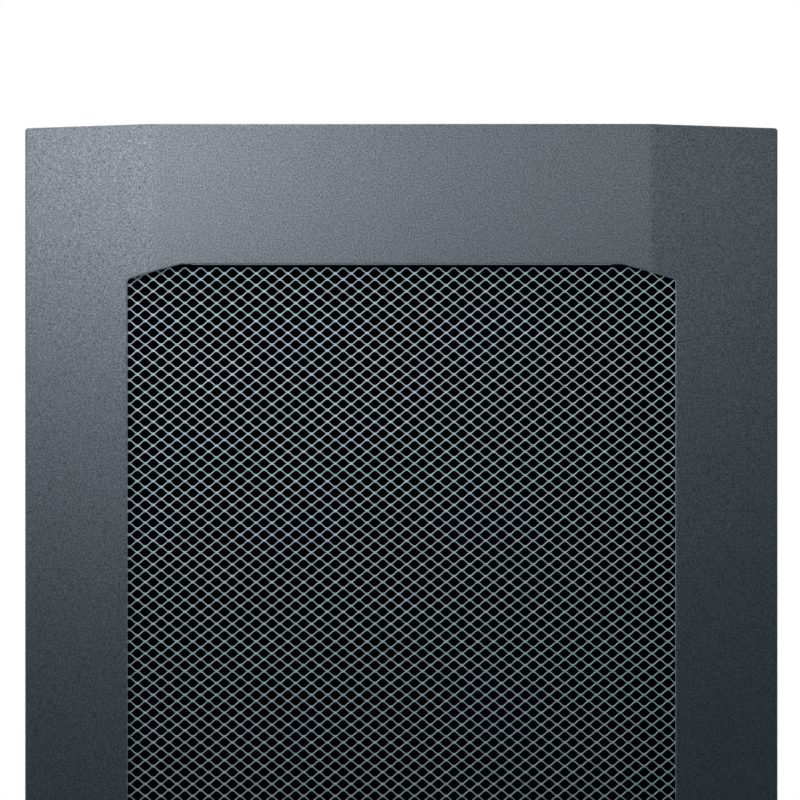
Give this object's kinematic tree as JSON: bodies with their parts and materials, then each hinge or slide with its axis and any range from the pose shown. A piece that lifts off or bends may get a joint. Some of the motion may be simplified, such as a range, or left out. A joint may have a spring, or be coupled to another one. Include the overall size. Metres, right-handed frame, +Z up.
{
  "type": "vented rack door",
  "caption": "Tall faceted sheet-metal rack front door with an expanded-metal vent window, lift-off hinges on the left rear edge and a keyed cam lock.",
  "frame": {"origin": "middle of the lower hinge's two-screw pattern, on the leaf face that meets the rack", "axes": "+X across the door towards the latch side, +Y from the door's front towards the rack, +Z up"},
  "size_m": [0.61, 0.066, 1.25],
  "materials": {
    "powder_coat": "fine textured satin powder coat, blue grey",
    "mesh_coat": "satin powder coat",
    "zinc_plate": "zinc plated",
    "bright_steel": "bright",
    "lock_chrome": "satin chrome",
    "nylon": "natural nylon",
    "rubber": "matt black"
  },
  "bodies": {
    "rack_side": {"upper_hinge_rack_leaf": "zinc_plate", "lower_hinge_rack_leaf": "zinc_plate", "upper_hinge_pin": "bright_steel", "lower_hinge_pin": "bright_steel", "upper_hinge_washer": "nylon", "lower_hinge_washer": "nylon"},
    "door": {"door_skin": "powder_coat", "vent_mesh": "mesh_coat", "mesh_clamp_top": "zinc_plate", "mesh_clamp_bottom": "zinc_plate", "mesh_clamp_hinge_side": "zinc_plate", "mesh_clamp_latch_side": "zinc_plate", "clamp_studs": "zinc_plate", "clamp_nuts": "zinc_plate", "upper_hinge_door_leaf": "zinc_plate", "lower_hinge_door_leaf": "zinc_plate", "lock_nut": "zinc_plate", "lock_washer": "zinc_plate", "earth_stud": "zinc_plate", "earth_washer": "zinc_plate", "earth_nut": "zinc_plate", "hinge_rivets": "bright_steel", "lock_body": "lock_chrome", "bumpers": "rubber"},
    "lock": {"lock_plug": "lock_chrome", "lock_cam": "zinc_plate", "cam_screw": "zinc_plate"}
  },
  "joints": [
    {"name": "door_swing", "type": "hinge", "parent": "rack_side", "child": "door", "pos_m": [-0.026, -0.0052, 0], "axis": [0, 0, -1], "range_deg": [0, 120]},
    {"name": "lock_turn", "type": "hinge", "parent": "door", "child": "lock", "pos_m": [0.546, -0.0401, 0.475], "axis": [0.2339, -0.9723, 0], "range_deg": [0, 90]}
  ]
}
